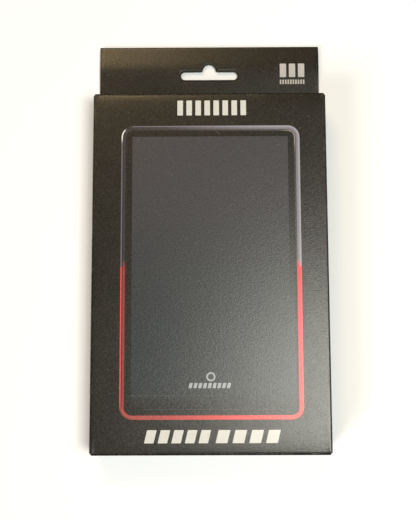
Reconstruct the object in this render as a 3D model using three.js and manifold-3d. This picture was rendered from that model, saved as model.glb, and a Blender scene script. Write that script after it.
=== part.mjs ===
// A hanging retail carton holding a snap-together case for a graded card slab.
//
// Millimetres. The pack lies on its back: +Z comes out of the printed front,
// +Y runs up the pack toward the hang tab, +X is to the right of the print.
// The origin is under the middle of the whole outline, on the surface it lies on.

import * as THREE from 'three';
import Module from 'manifold-3d';
import { mergeVertices } from 'three/addons/utils/BufferGeometryUtils.js';

// ---------------------------------------------------------------- dimensions

// Carton, outside.
const CARTON_WIDTH = 122;
const CARTON_HEIGHT = 186;
const CARTON_DEPTH = 21;
const BOARD = 0.5;            // thickness of the folding boxboard
const CREASE_GAP = 0.1;       // board left out on each side of a crease line
const CREASE_REACH = BOARD / 2 + CREASE_GAP; // from a crease line to the panel's end

// Hang tab: the back panel runs on above the carton and folds down on itself.
const TAB_WIDTH = 120.5;
const TAB_RISE = 33.5;
const TAB_CORNER = 1.2;
const TAB_PLY_LIFT = 1.6;     // lower end of the glued ply above the closed lid
const TAB_PLY_GAP = 0.05;     // glue line between the two plies

// Hanger slot, a long arm with a hump over its middle.
const SLOT_RISE = 16.1;       // centre of the arm above the carton's top edge
const SLOT_REAR = { halfLength: 15.8, arm: 4.6, hump: 4.6, humpRadius: 3.5, lift: 0.3 };
const SLOT_FRONT = { halfLength: 16.6, arm: 6.6, hump: 4.4, humpRadius: 4.3, lift: 0 };

// End closures, the same at both ends.
const LID_SIDE_GAP = 0.5;     // lid narrower than the carton on each side
const TUCK_CREASE_RISE = 1.45; // crease between lid and tuck flap above the back
const TUCK_LENGTH = 13;
const TUCK_SIDE_GAP = 2;
const TUCK_CORNER = 7;
const TUCK_LEAN = 10;         // degrees that the closed tuck flap leans inward
const TUCK_CREASE_REACH = 0.6; // from the tuck crease to the flap's end, so that it can fold
const DUST_DROP = 0.2;        // clear space between the lid and a dust flap
const DUST_LENGTH = 17;
const DUST_REAR_RISE = 2.5;   // dust flap's rear edge above the back's outer face
const DUST_REAR_STRAIGHT = 8; // length of that edge before it slopes up
const DUST_REAR_SLOPE = 20;   // degrees
const DUST_FRONT_GAP = 1.5;   // dust flap's front edge behind the front, at its crease
const DUST_FRONT_SLOPE = 25;  // degrees
const DUST_CORNER = 2;

// Glue flap inside the left side.
const GLUE_WIDTH = 14;
const GLUE_END_SLOPE = 9;
const GLUE_GAP = 0.1;

// Snap case. Its ring is two coloured parts that meet across the middle.
const CASE_WIDTH = 94;
const CASE_HEIGHT = 152;
const CASE_DEPTH = 13;
const CASE_CORNER = 6.2;
const CASE_BASE = 3.6;        // underside of the case above the carton's back
const RING_WIDTH = 2.9;
const RING_SPLIT_RISE = 1.9;  // where the two colours meet, above the case's middle
const RING_SPLIT_GAP = 0.1;
const RING_GROOVE_WIDTH = 0.3;
const RING_GROOVE_DEPTH = 0.4;
const FIT_GAP = 0.1;          // between nested pieces of the case

// Frames and windows nest inside the ring.
const WINDOW_VIEW_WIDTH = 81.3;
const WINDOW_VIEW_HEIGHT = 140.4;
const WINDOW_THICKNESS = 1.6;
const WINDOW_CLEARANCE = 0.2;
const FRAME_CAVITY_WIDTH = 83.2;
const FRAME_CAVITY_HEIGHT = 142.2;
const FRAME_INSET = 0.4;      // frame's outer face below the ring's edge
const FRAME_LIP = 0.9;        // thickness of the lip that holds the window
const FRAME_PART_GAP = 0.1;   // between the two frames where they meet
const VIEW_CORNER = 0.6;

// Dummy card in the slab space, on the rear window.
const CARD_WIDTH = 81;
const CARD_HEIGHT = 136;
const CARD_THICKNESS = 0.8;
const CARD_CORNER = 2.5;

// Foam that packs the case in the carton.
const PAD_BASE = 0.6;
const FOAM_TOP = 20.2;
const FOAM_GAP = 0.6;
const RAIL_OUTER = 59.5;      // outer face of a rail from the middle of the carton
const END_BLOCK_BASE = 5;     // clears the bottom tuck flap
const END_BLOCK_LENGTH = 14;
const FOAM_CHAMFER = 0.8;

// Worked out from the above.
const LENGTH = CARTON_HEIGHT + TAB_RISE;
const CARTON_MIDDLE = -TAB_RISE / 2;
const CARTON_TOP = CARTON_MIDDLE + CARTON_HEIGHT / 2;
const SIDE_CREASE = CARTON_WIDTH / 2 - BOARD / 2;
const LID_CREASE_DROP = BOARD / 2;                   // below the carton's end
const DUST_CREASE_DROP = BOARD + DUST_DROP + BOARD / 2;
const SIDE_PANEL_SHORT = DUST_CREASE_DROP + CREASE_REACH;
const FRONT_PANEL_SHORT = LID_CREASE_DROP + CREASE_REACH;

const ARC_STEPS = 6;

// ----------------------------------------------------------------- materials

function material(colour, roughness, metalness = 0) {
  return new THREE.MeshStandardMaterial({ color: colour, roughness, metalness });
}

const blackBoard = () => material(0x2a2721, 0.5);
const flapBoard = () => material(0x302d27, 0.55);
const foam = () => material(0x1d1d1e, 0.95);
const framePlastic = () => material(0x18181a, 0.45);
const silverPlastic = () => material(0x8b878f, 0.4);
const redPlastic = () => material(0xc8414d, 0.4);
const clearPlastic = () => material(0xd5dde0, 0.08);
const printedCard = () => material(0x4c4a4a, 0.6);

// ------------------------------------------------------------------- helpers

function extrude(outline, depth) {
  return new THREE.ExtrudeGeometry(outline, { depth, bevelEnabled: false, curveSegments: ARC_STEPS });
}

function named(name, geometry, itsMaterial) {
  const mesh = new THREE.Mesh(geometry, itsMaterial);
  mesh.name = name;
  return mesh;
}

// A rectangle centred on the origin with all four corners rounded.
function roundedRectangle(width, height, radius, Outline = THREE.Shape) {
  const x = width / 2;
  const y = height / 2;
  const outline = new Outline();
  outline.moveTo(-x + radius, -y);
  outline.lineTo(x - radius, -y);
  outline.absarc(x - radius, -y + radius, radius, -Math.PI / 2, 0, false);
  outline.lineTo(x, y - radius);
  outline.absarc(x - radius, y - radius, radius, 0, Math.PI / 2, false);
  outline.lineTo(-x + radius, y);
  outline.absarc(-x + radius, y - radius, radius, Math.PI / 2, Math.PI, false);
  outline.lineTo(-x, -y + radius);
  outline.absarc(-x + radius, -y + radius, radius, Math.PI, 1.5 * Math.PI, false);
  return outline;
}

// A straight-sided outline from a short list of corners.
function polygon(corners) {
  return new THREE.Shape(corners.map(([x, y]) => new THREE.Vector2(x, y)));
}

function box(name, low, high, itsMaterial) {
  const size = high.map((value, axis) => value - low[axis]);
  const mesh = named(name, new THREE.BoxGeometry(...size), itsMaterial);
  mesh.position.set(...low.map((value, axis) => value + size[axis] / 2));
  return mesh;
}

// ---------------------------------------------------------- boolean geometry

const wasm = await Module();
wasm.setup();

function toSolid(geometry) {
  const bare = geometry.index ? geometry.toNonIndexed() : geometry.clone();
  bare.deleteAttribute('normal');
  bare.deleteAttribute('uv');
  const merged = mergeVertices(bare, 1e-4);
  return new wasm.Manifold(new wasm.Mesh({
    numProp: 3,
    vertProperties: new Float32Array(merged.attributes.position.array),
    triVerts: new Uint32Array(merged.index.array),
  }));
}

function toGeometry(solid) {
  const mesh = solid.getMesh();
  const geometry = new THREE.BufferGeometry();
  geometry.setAttribute('position', new THREE.BufferAttribute(mesh.vertProperties, 3));
  geometry.setIndex(new THREE.BufferAttribute(mesh.triVerts, 1));
  geometry.computeVertexNormals();
  return geometry;
}

// -------------------------------------------------------------- carton walls

// The long slot with a hump, as a hole centred on its arm.
function hangerSlot({ halfLength, arm, hump, humpRadius }) {
  const y = arm / 2;
  const end = y;                                   // half-round ends
  const humpCentre = y + hump - humpRadius;
  const flare = humpRadius + 1.3;
  const slot = new THREE.Path();
  slot.moveTo(-halfLength + end, -y);
  slot.lineTo(halfLength - end, -y);
  slot.absarc(halfLength - end, 0, end, -Math.PI / 2, Math.PI / 2, false);
  slot.lineTo(flare, y);
  slot.quadraticCurveTo(humpRadius + 0.2, y, humpRadius, humpCentre);
  slot.absarc(0, humpCentre, humpRadius, 0, Math.PI, false);
  slot.quadraticCurveTo(-humpRadius - 0.2, y, -flare, y);
  slot.lineTo(-halfLength + end, y);
  slot.absarc(-halfLength + end, 0, end, Math.PI / 2, 1.5 * Math.PI, false);
  return slot;
}

function moved(path, y) {
  const points = path.getPoints(ARC_STEPS).map((point) => new THREE.Vector2(point.x, point.y + y));
  return new THREE.Path(points);
}

// Back panel with the rear ply of the hang tab above it, in one flat piece.
function backPanel() {
  const x = CARTON_WIDTH / 2;
  const tabX = TAB_WIDTH / 2;
  const low = CARTON_MIDDLE - CARTON_HEIGHT / 2;
  const high = LENGTH / 2;
  const outline = new THREE.Shape();
  outline.moveTo(-x, low);
  outline.lineTo(x, low);
  outline.lineTo(x, CARTON_TOP - SIDE_PANEL_SHORT);
  outline.lineTo(tabX, CARTON_TOP);
  outline.lineTo(tabX, high - TAB_CORNER);
  outline.absarc(tabX - TAB_CORNER, high - TAB_CORNER, TAB_CORNER, 0, Math.PI / 2, false);
  outline.lineTo(-tabX + TAB_CORNER, high);
  outline.absarc(-tabX + TAB_CORNER, high - TAB_CORNER, TAB_CORNER, Math.PI / 2, Math.PI, false);
  outline.lineTo(-tabX, CARTON_TOP);
  outline.lineTo(-x, CARTON_TOP - SIDE_PANEL_SHORT);
  outline.holes.push(moved(hangerSlot(SLOT_REAR), CARTON_TOP + SLOT_RISE + SLOT_REAR.lift));
  return named('back_panel', extrude(outline, BOARD), blackBoard());
}

// Ply folded over at the tab's top and glued down on its front.
function hangTabPly() {
  const height = TAB_RISE - TAB_PLY_LIFT;
  const middle = CARTON_TOP + TAB_PLY_LIFT + height / 2;
  const outline = roundedRectangle(TAB_WIDTH, height, TAB_CORNER);
  outline.holes.push(moved(hangerSlot(SLOT_FRONT), CARTON_TOP + SLOT_RISE + SLOT_FRONT.lift - middle));
  const mesh = named('hang_tab_ply', extrude(outline, BOARD), blackBoard());
  mesh.position.set(0, middle, BOARD + TAB_PLY_GAP);
  return mesh;
}

function frontPanel() {
  const x = CARTON_WIDTH / 2;
  const y = CARTON_HEIGHT / 2 - FRONT_PANEL_SHORT;
  const low = [-x, CARTON_MIDDLE - y, CARTON_DEPTH - BOARD];
  const high = [x, CARTON_MIDDLE + y, CARTON_DEPTH];
  return box('front_panel', low, high, blackBoard());
}

function sidePanel(name, side) {
  const outer = side * CARTON_WIDTH / 2;
  const inner = side * (CARTON_WIDTH / 2 - BOARD);
  const y = CARTON_HEIGHT / 2 - SIDE_PANEL_SHORT;
  const low = [Math.min(outer, inner), CARTON_MIDDLE - y, BOARD + CREASE_GAP];
  const high = [Math.max(outer, inner), CARTON_MIDDLE + y, CARTON_DEPTH - BOARD - CREASE_GAP];
  return box(name, low, high, blackBoard());
}

// Flap glued inside the left side, its two ends cut back at a slope.
function glueFlap() {
  const y = CARTON_HEIGHT / 2 - SIDE_PANEL_SHORT - 1;
  const outline = polygon([
    [0, -y],
    [GLUE_WIDTH, -y + GLUE_END_SLOPE],
    [GLUE_WIDTH, y - GLUE_END_SLOPE],
    [0, y],
  ]);
  const mesh = named('glue_flap', extrude(outline, BOARD), flapBoard());
  mesh.rotation.y = -Math.PI / 2;
  mesh.position.set(-CARTON_WIDTH / 2 + 2 * BOARD + GLUE_GAP, CARTON_MIDDLE, BOARD + CREASE_GAP);
  return mesh;
}

// ------------------------------------------------------------- end closures

// The lid hangs from the front's end crease. Its outer face is y = 0 here.
function lidPanel(name) {
  const x = CARTON_WIDTH / 2 - LID_SIDE_GAP;
  const low = [-x, -BOARD, TUCK_CREASE_RISE + CREASE_REACH];
  const high = [x, 0, CARTON_DEPTH - BOARD / 2 - CREASE_REACH];
  return box(name, low, high, blackBoard());
}

// The tuck flap runs inward from its crease, behind the dust flaps.
function tuckFlap(name) {
  const x = CARTON_WIDTH / 2 - TUCK_SIDE_GAP;
  const outline = new THREE.Shape();
  outline.moveTo(-x, -TUCK_CREASE_REACH);
  outline.lineTo(-x, -TUCK_LENGTH + TUCK_CORNER);
  outline.absarc(-x + TUCK_CORNER, -TUCK_LENGTH + TUCK_CORNER, TUCK_CORNER, Math.PI, 1.5 * Math.PI, false);
  outline.lineTo(x - TUCK_CORNER, -TUCK_LENGTH);
  outline.absarc(x - TUCK_CORNER, -TUCK_LENGTH + TUCK_CORNER, TUCK_CORNER, -Math.PI / 2, 0, false);
  outline.lineTo(x, -TUCK_CREASE_REACH);
  const geometry = extrude(outline, BOARD);
  geometry.translate(0, 0, -BOARD / 2);
  const mesh = named(name, geometry, flapBoard());
  mesh.rotation.x = -THREE.MathUtils.degToRad(TUCK_LEAN);
  mesh.position.set(0, -LID_CREASE_DROP, TUCK_CREASE_RISE);
  return mesh;
}

// A dust flap lies under the lid, hinged on a side panel. Its outline is drawn
// with x along the flap from its crease and y up the carton's depth. Its front
// edge slopes to clear the swinging lid, and its rear edge the tuck flap.
function dustFlap(name, side) {
  const slope = (degrees) => Math.tan(THREE.MathUtils.degToRad(degrees));
  const frontAt = (reach) => CARTON_DEPTH - DUST_FRONT_GAP - slope(DUST_FRONT_SLOPE) * reach;
  const rearAt = (reach) =>
    DUST_REAR_RISE + slope(DUST_REAR_SLOPE) * Math.max(reach - DUST_REAR_STRAIGHT, 0);
  const tip = DUST_LENGTH;
  const shoulder = DUST_LENGTH - DUST_CORNER;
  const inward = -side;
  const outline = new THREE.Shape();
  outline.moveTo(inward * CREASE_REACH, DUST_REAR_RISE);
  outline.lineTo(inward * DUST_REAR_STRAIGHT, DUST_REAR_RISE);
  outline.lineTo(inward * shoulder, rearAt(shoulder));
  outline.quadraticCurveTo(inward * tip, rearAt(tip), inward * tip, rearAt(tip) + DUST_CORNER);
  outline.lineTo(inward * tip, frontAt(tip) - DUST_CORNER);
  outline.quadraticCurveTo(inward * tip, frontAt(tip), inward * shoulder, frontAt(shoulder));
  outline.lineTo(inward * CREASE_REACH, frontAt(CREASE_REACH));
  const geometry = extrude(outline, BOARD);
  geometry.translate(0, 0, -BOARD / 2);
  const mesh = named(name, geometry, flapBoard());
  mesh.rotation.x = Math.PI / 2;
  mesh.position.set(side * SIDE_CREASE, -DUST_CREASE_DROP, 0);
  return mesh;
}

// Lid, tuck flap and two dust flaps for one end of the carton.
function endClosure(end, outward) {
  const group = new THREE.Group();
  group.add(lidPanel(`${end}_lid_panel`));
  group.add(tuckFlap(`${end}_tuck_flap`));
  group.add(dustFlap(`${end}_right_dust_flap`, outward));
  group.add(dustFlap(`${end}_left_dust_flap`, -outward));
  group.position.y = CARTON_MIDDLE + outward * CARTON_HEIGHT / 2;
  group.rotation.z = outward > 0 ? 0 : Math.PI;
  return group;
}

// ---------------------------------------------------------------- snap case

function ringSolid(outerWidth, outerHeight, outerCorner, width, depth) {
  const outline = roundedRectangle(outerWidth, outerHeight, outerCorner);
  const innerCorner = Math.max(outerCorner - width, 0.5);
  outline.holes.push(roundedRectangle(outerWidth - 2 * width, outerHeight - 2 * width, innerCorner, THREE.Path));
  return toSolid(extrude(outline, depth));
}

function slabSolid(width, height, corner, depth) {
  return toSolid(extrude(roundedRectangle(width, height, corner), depth));
}

// Two narrow grooves round the ring's front face leave three raised stripes.
function groovedRing() {
  let ring = ringSolid(CASE_WIDTH, CASE_HEIGHT, CASE_CORNER, RING_WIDTH, CASE_DEPTH);
  const stripe = (RING_WIDTH - 2 * RING_GROOVE_WIDTH) / 3;
  for (const count of [1, 2]) {
    const inset = count * stripe + (count - 1) * RING_GROOVE_WIDTH;
    const groove = ringSolid(
      CASE_WIDTH - 2 * inset, CASE_HEIGHT - 2 * inset, CASE_CORNER - inset,
      RING_GROOVE_WIDTH, 2 * RING_GROOVE_DEPTH);
    ring = ring.subtract(groove.translate([0, 0, CASE_DEPTH - RING_GROOVE_DEPTH]));
  }
  return ring;
}

function halfSpace(upper) {
  const tall = CASE_HEIGHT;
  const block = toSolid(new THREE.BoxGeometry(2 * CASE_WIDTH, tall, 4 * CASE_DEPTH));
  const shift = tall / 2 + RING_SPLIT_GAP / 2;
  return block.translate([0, RING_SPLIT_RISE + (upper ? shift : -shift), 0]);
}

function ringHalf(name, upper, itsMaterial) {
  const half = groovedRing().intersect(halfSpace(upper));
  return named(name, toGeometry(half), itsMaterial);
}

// A frame is a shallow tray with a window hole, drawn lip down.
function frameSolid() {
  const width = CASE_WIDTH - 2 * (RING_WIDTH + FIT_GAP);
  const height = CASE_HEIGHT - 2 * (RING_WIDTH + FIT_GAP);
  const depth = CASE_DEPTH / 2 - FRAME_INSET - FRAME_PART_GAP / 2;
  const body = slabSolid(width, height, CASE_CORNER - RING_WIDTH, depth);
  const view = slabSolid(WINDOW_VIEW_WIDTH, WINDOW_VIEW_HEIGHT, VIEW_CORNER, 2 * depth);
  const cavity = slabSolid(FRAME_CAVITY_WIDTH, FRAME_CAVITY_HEIGHT, 1, depth);
  return body
    .subtract(view.translate([0, 0, -depth / 2]))
    .subtract(cavity.translate([0, 0, FRAME_LIP]));
}

function windowGeometry() {
  return extrude(roundedRectangle(
    FRAME_CAVITY_WIDTH - 2 * WINDOW_CLEARANCE, FRAME_CAVITY_HEIGHT - 2 * WINDOW_CLEARANCE, 1),
  WINDOW_THICKNESS);
}

// Frame and window of one half. The front half is the rear half turned over.
function caseHalf(half) {
  const group = new THREE.Group();
  const frame = named(`case_${half}_frame`, toGeometry(frameSolid()), framePlastic());
  const pane = named(`case_${half}_window`, windowGeometry(), clearPlastic());
  frame.position.z = FRAME_INSET;
  pane.position.z = FRAME_INSET + FRAME_LIP + FIT_GAP;
  group.add(frame, pane);
  if (half === 'front') {
    group.rotation.y = Math.PI;
    group.position.z = CASE_DEPTH;
  }
  return group;
}

function dummyCard() {
  const mesh = named(
    'dummy_card', extrude(roundedRectangle(CARD_WIDTH, CARD_HEIGHT, CARD_CORNER), CARD_THICKNESS), printedCard());
  mesh.position.z = FRAME_INSET + FRAME_LIP + WINDOW_THICKNESS + 3 * FIT_GAP;
  return mesh;
}

function snapCase() {
  const group = new THREE.Group();
  group.add(ringHalf('case_ring_upper', true, silverPlastic()));
  group.add(ringHalf('case_ring_lower', false, redPlastic()));
  group.add(caseHalf('rear'));
  group.add(dummyCard());
  group.add(caseHalf('front'));
  group.position.set(0, CARTON_MIDDLE, CASE_BASE);
  return group;
}

// --------------------------------------------------------------------- foam

// A foam block with its long top edges taken off.
function foamBlock(name, low, high) {
  const width = high[0] - low[0];
  const height = high[2] - low[2];
  const outline = polygon([
    [-width / 2, 0],
    [width / 2, 0],
    [width / 2, height - FOAM_CHAMFER],
    [width / 2 - FOAM_CHAMFER, height],
    [-width / 2 + FOAM_CHAMFER, height],
    [-width / 2, height - FOAM_CHAMFER],
  ]);
  const mesh = named(name, extrude(outline, high[1] - low[1]), foam());
  mesh.rotation.x = Math.PI / 2;
  mesh.position.set((low[0] + high[0]) / 2, high[1], low[2]);
  return mesh;
}

function packingFoam() {
  const group = new THREE.Group();
  const inner = CASE_WIDTH / 2 + FOAM_GAP;
  const reach = CASE_HEIGHT / 2;
  const padTop = CASE_BASE - 0.3;
  const blockTop = -reach - FOAM_GAP;
  group.add(foamBlock('foam_left_rail', [-RAIL_OUTER, -reach, PAD_BASE], [-inner, reach, FOAM_TOP]));
  group.add(foamBlock('foam_right_rail', [inner, -reach, PAD_BASE], [RAIL_OUTER, reach, FOAM_TOP]));
  group.add(box('foam_base_pad', [-inner + 0.3, -reach, PAD_BASE], [inner - 0.3, reach, padTop], foam()));
  group.add(foamBlock(
    'foam_end_block', [-inner, blockTop - END_BLOCK_LENGTH, END_BLOCK_BASE], [inner, blockTop, FOAM_TOP]));
  group.position.y = CARTON_MIDDLE;
  return group;
}

// ------------------------------------------------------------------- the pack

const pack = new THREE.Group();
pack.add(backPanel());
pack.add(hangTabPly());
pack.add(frontPanel());
pack.add(sidePanel('left_side_panel', -1));
pack.add(sidePanel('right_side_panel', 1));
pack.add(glueFlap());
pack.add(endClosure('top', 1));
pack.add(endClosure('bottom', -1));
pack.add(packingFoam());
pack.add(snapCase());

export default pack;
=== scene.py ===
"""A hanging retail carton for a slab snap case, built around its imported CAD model."""

import math

import bmesh
import bpy
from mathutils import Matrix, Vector, noise
from mathutils.geometry import delaunay_2d_cdt


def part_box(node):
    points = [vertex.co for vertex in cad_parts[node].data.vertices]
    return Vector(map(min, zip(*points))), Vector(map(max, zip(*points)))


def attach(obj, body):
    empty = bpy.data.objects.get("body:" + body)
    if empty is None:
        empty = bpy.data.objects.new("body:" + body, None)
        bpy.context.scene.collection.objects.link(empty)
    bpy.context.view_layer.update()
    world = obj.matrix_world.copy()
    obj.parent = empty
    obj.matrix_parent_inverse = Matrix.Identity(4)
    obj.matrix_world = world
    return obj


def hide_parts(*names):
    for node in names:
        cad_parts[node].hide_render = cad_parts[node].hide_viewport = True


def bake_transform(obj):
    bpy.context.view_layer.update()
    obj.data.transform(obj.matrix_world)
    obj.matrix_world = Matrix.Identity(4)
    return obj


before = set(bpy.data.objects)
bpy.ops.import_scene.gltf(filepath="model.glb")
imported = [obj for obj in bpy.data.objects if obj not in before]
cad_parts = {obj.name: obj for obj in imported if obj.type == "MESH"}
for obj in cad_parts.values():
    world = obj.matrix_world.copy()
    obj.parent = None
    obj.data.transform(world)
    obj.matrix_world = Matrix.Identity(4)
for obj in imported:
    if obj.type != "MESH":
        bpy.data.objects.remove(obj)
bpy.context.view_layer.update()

MM = 0.001

# ---- driving sizes

FRONT_LOW, FRONT_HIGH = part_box("front_panel")
TAB_LOW, TAB_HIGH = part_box("hang_tab_ply")
BACK_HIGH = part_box("back_panel")[1]
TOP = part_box("top_lid_panel")[1].y
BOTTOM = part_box("bottom_lid_panel")[0].y
MIDDLE = (TOP + BOTTOM) / 2
HALF_HEIGHT = (TOP - BOTTOM) / 2
HALF_WIDTH = FRONT_HIGH.x
DEPTH = FRONT_HIGH.z
BOARD = FRONT_HIGH.z - FRONT_LOW.z
TAB_HALF = TAB_HIGH.x
TAB_TOP = BACK_HIGH.y - 0.6 * MM
TAB_FACE = TAB_HIGH.z
GLUE_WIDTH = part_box("glue_flap")[1].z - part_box("glue_flap")[0].z
LID_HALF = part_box("top_lid_panel")[1].x
TUCK_LOW, TUCK_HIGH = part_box("top_tuck_flap")
DUST_LOW, DUST_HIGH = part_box("top_right_dust_flap")
CASE_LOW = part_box("case_ring_lower")[0]
CASE_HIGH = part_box("case_ring_upper")[1]

FOLD = 1.1 * MM               # outer radius of the long folds
CREASE = 0.9 * MM             # outer radius of the lid creases
SWELL = 0.4 * MM              # how far the lids bow out beyond the carton's ends at the front
TUCK_FOLD = 0.7 * MM
DUST_FOLD = 0.8 * MM
BULGE = 0.35 * MM             # how far the front bows out at its middle
TOP_PULL = 0.28 * MM          # how far the creases draw the front's ends down
BOTTOM_PULL = 0.26 * MM
TOP_PULL_LENGTH = 6.0 * MM
BOTTOM_PULL_LENGTH = 8.0 * MM
TAB_SLOPE = math.radians(4)   # of the hang tab below its bend
TAB_FALL = math.radians(3)    # of the hang tab above its bend
TAB_BEND = 20.5 * MM          # from the lid's crease to the tab's bend
TAB_BEND_SOFT = 2.4 * MM
GRID = 4 * MM                 # spacing of a flat panel's mesh
TAB_GRID = 1.2 * MM           # spacing of the bent tab's mesh lines
ARC_STEPS = 6
OUTLINE_GAP = 0.05 * MM       # least distance between mesh points along an outline
INNER_GAP = 0.15 * MM         # least distance of the other mesh points from an outline
END_LINES = (1 * MM, 2.2 * MM)        # extra mesh lines this far from both ends of a run
SHARP = 50                    # an edge that turns by more degrees than this is sharp
LOFT_SHARP = 35               # the same for the case's rings, frames and plates
CUT_SOFT = 0.07 * MM          # rounding of the board's cut edges
INK_LIFT = 0.01 * MM
INK = 0.02 * MM               # thickness of flat ink
FAINT_INK = 0.005 * MM
RAISED_INK = 0.06 * MM        # thickness of the raised cream marks

GLUE_X = -HALF_WIDTH + BOARD + 0.1 * MM          # outer face of the glue flap
GLUE_STEP = 1 * MM            # how far the glue flap stops short of the sides
GLUE_SLOPE = 9 * MM           # how far its free edge stops short of them
SIDE_SHORT = 1.5 * MM         # how far the sides stop short of the carton's ends
BACK_FALL = 1.2 * MM          # how far the back's top edge falls from the tab to its corners
TAB_PLY = BOARD - 0.02 * MM   # thickness of the hang tab's front ply
TAB_SOFT = 0.16 * MM          # rounding of its punched edges
TAB_CORNER = 0.6 * MM         # cut off its lower corners
TUCK_BASE = TUCK_LOW.z + TUCK_FOLD - 0.06 * MM   # height where a lid ends and its tuck begins
TUCK_LEAN = 10                # degrees that a tuck turns past a right angle
TUCK_CORNER = 7 * MM
DUST_FACE = -0.7 * MM         # outer face of a dust flap, from the carton's end
DUST_STRAIGHT = 8 * MM        # along its rear edge, before that edge slopes
DUST_SLOPES = (20, 25)        # degrees that its rear and front edges slope
DUST_CORNER = 2 * MM          # cut off its tip's corners

# ---- mesh helpers


def new_object(name, vertices, faces, materials=()):
    mesh = bpy.data.meshes.new(name)
    mesh.from_pydata([tuple(v) for v in vertices], [], faces)
    mesh.update()
    piece = bpy.data.objects.new(name, mesh)
    bpy.context.scene.collection.objects.link(piece)
    for material in materials:
        mesh.materials.append(material)
    for polygon in mesh.polygons:
        polygon.use_smooth = True
    return piece


def freeze(piece):
    """Applies the piece's modifiers to its mesh."""
    bpy.context.view_layer.update()
    graph = bpy.context.evaluated_depsgraph_get()
    mesh = bpy.data.meshes.new_from_object(piece.evaluated_get(graph))
    piece.modifiers.clear()
    piece.data = mesh
    return piece


def bevel_edges(piece, width, segments):
    """Rounds the piece's sharp edges."""
    edge = piece.modifiers.new("edge", "BEVEL")
    edge.width = width
    edge.segments = segments
    edge.limit_method = "ANGLE"
    edge.angle_limit = math.radians(SHARP)


def thicken(piece, thickness, outward=False, bevel=CUT_SOFT):
    """Gives a sheet its thickness; its rim takes the third material, its inside the second."""
    solid = piece.modifiers.new("board", "SOLIDIFY")
    solid.thickness = thickness
    solid.offset = 1 if outward else -1
    count = len(piece.data.materials)
    solid.material_offset = 1 if count > 1 else 0
    solid.material_offset_rim = 2 if count > 2 else 0
    if bevel:
        bevel_edges(piece, bevel, 2)
    freeze(piece)
    for polygon in piece.data.polygons:
        polygon.use_smooth = True
    return sharpen(piece)


def sharpen(piece, degrees=SHARP, turn_outward=False):
    """Smooth shading that stops at the mesh's sharp edges."""
    mesh = bmesh.new()
    mesh.from_mesh(piece.data)
    if turn_outward:
        bmesh.ops.recalc_face_normals(mesh, faces=mesh.faces)
    limit = math.radians(degrees)
    for edge in mesh.edges:
        if len(edge.link_faces) == 2 and edge.calc_face_angle(0) > limit:
            edge.smooth = False
    mesh.to_mesh(piece.data)
    mesh.free()
    return piece


def smooth(low, high, value):
    """0 before low, 1 after high, and an even passage between."""
    t = max(0.0, min(1.0, (value - low) / (high - low)))
    return t * t * (3 - 2 * t)


def sides(loop):
    """The pairs of neighbouring points round a closed loop."""
    return zip(loop, loop[1:] + loop[:1])


def inside(point, loop):
    """Whether a 2D point is in a closed loop of 2D points."""
    x, y = point
    hit = False
    for (x1, y1), (x2, y2) in sides(loop):
        if (y1 > y) != (y2 > y) and x < (x2 - x1) * (y - y1) / (y2 - y1) + x1:
            hit = not hit
    return hit


def far_from(point, loop, gap):
    """Whether a 2D point keeps at least a gap from every side of a loop."""
    p = Vector(point)
    for a, b in sides(loop):
        a, b = Vector(a), Vector(b)
        side = b - a
        along = max(0.0, min(1.0, (p - a).dot(side) / max(side.length_squared, 1e-18)))
        if (p - a - along * side).length < gap:
            return False
    return True


def spread(low, high, step):
    """Evenly spaced values from low to high, both included."""
    count = max(1, round((high - low) / step))
    return [low + (high - low) * i / count for i in range(count + 1)]


def split_at(loop, columns, rows):
    """Adds points to a loop where grid columns and rows cross it."""
    result = []
    for (x1, y1), (x2, y2) in sides(loop):
        cuts = [(c - x1) / (x2 - x1) for c in columns if min(x1, x2) < c < max(x1, x2)]
        cuts += [(r - y1) / (y2 - y1) for r in rows if min(y1, y2) < r < max(y1, y2)]
        result.append((x1, y1))
        last = 0.0
        span = math.hypot(x2 - x1, y2 - y1)
        for t in sorted(cuts):
            if min(t - last, 1 - t) * span > OUTLINE_GAP:
                result.append((x1 + t * (x2 - x1), y1 + t * (y2 - y1)))
                last = t
    return result


def blank(outline, holes, columns, rows):
    """A flat die-cut blank as 2D points and triangles, with mesh points where columns and rows cross."""

    def within(spot):
        return inside(spot, outline) and not any(inside(spot, hole) for hole in holes)

    loops = [split_at(loop, columns, rows) for loop in [outline, *holes]]
    points = []
    edges = []
    for loop in loops:
        first = len(points)
        points.extend(loop)
        edges.extend((first + i, first + (i + 1) % len(loop)) for i in range(len(loop)))
    for x in columns:
        for y in rows:
            spot = (x, y)
            if within(spot) and all(far_from(spot, loop, INNER_GAP) for loop in [outline, *holes]):
                points.append(spot)
    flat, _, faces, *_ = delaunay_2d_cdt([Vector(p) for p in points], edges, [], 0, 1e-7)
    kept = []
    for face in faces:
        middle = sum((flat[i] for i in face), Vector((0, 0))) / 3
        if within(middle):
            kept.append(tuple(face))
    return [(v.x, v.y) for v in flat], kept


def arc(cx, cy, radius, start, end, steps):
    """Points along an arc, angles in degrees."""
    angles = [math.radians(start + (end - start) * i / steps) for i in range(steps + 1)]
    return [(cx + radius * math.cos(a), cy + radius * math.sin(a)) for a in angles]


def rounded_loop(width, height, radius, cx=0.0, cy=0.0, steps=8):
    """A rounded rectangle, counterclockwise."""
    x, y = width / 2 - radius, height / 2 - radius
    corners = [(x, y, 0), (-x, y, 90), (-x, -y, 180), (x, -y, 270)]
    loop = []
    for corner_x, corner_y, start in corners:
        loop.extend(arc(cx + corner_x, cy + corner_y, radius, start, start + 90, steps))
    return loop


def rectangle(left, right, low, top):
    return [(left, low), (right, low), (right, top), (left, top)]


# ---- surface shapes


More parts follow.
